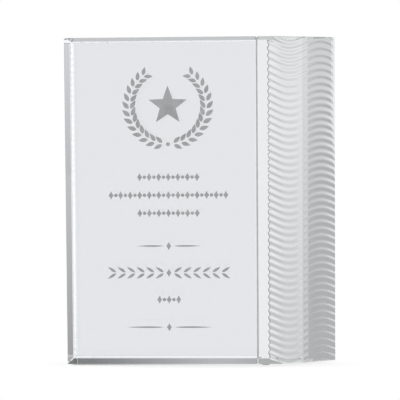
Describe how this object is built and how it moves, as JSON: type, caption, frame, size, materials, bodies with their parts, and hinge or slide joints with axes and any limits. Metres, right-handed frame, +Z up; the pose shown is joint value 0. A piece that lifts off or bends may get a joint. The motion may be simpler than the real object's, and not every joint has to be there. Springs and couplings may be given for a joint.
{
  "type": "crystal award",
  "caption": "Free-standing clear crystal award: a flat bevelled panel for engraving, bonded along one edge to a side wing whose sloping front is carved in fluted waves.",
  "frame": {"origin": "on the standing surface, under the middle of the award's outline seen from above", "axes": "+Z up; the front faces -Y; +X towards the carved wing, at the viewer's right"},
  "size_m": [0.125, 0.019, 0.1521],
  "materials": {
    "polished_crystal": "clear optical crystal, flat polished",
    "carved_crystal": "clear optical crystal, carved in flutes and polished",
    "bond_adhesive": "cured clear adhesive film",
    "clear_pad": "clear soft polyurethane, satin"
  },
  "bodies": {
    "root": {"crystal_panel": "polished_crystal", "carved_wing": "carved_crystal", "bond_film": "bond_adhesive", "foot_pad_front_left": "clear_pad", "foot_pad_back_left": "clear_pad", "foot_pad_front_right": "clear_pad", "foot_pad_back_right": "clear_pad"}
  },
  "joints": []
}
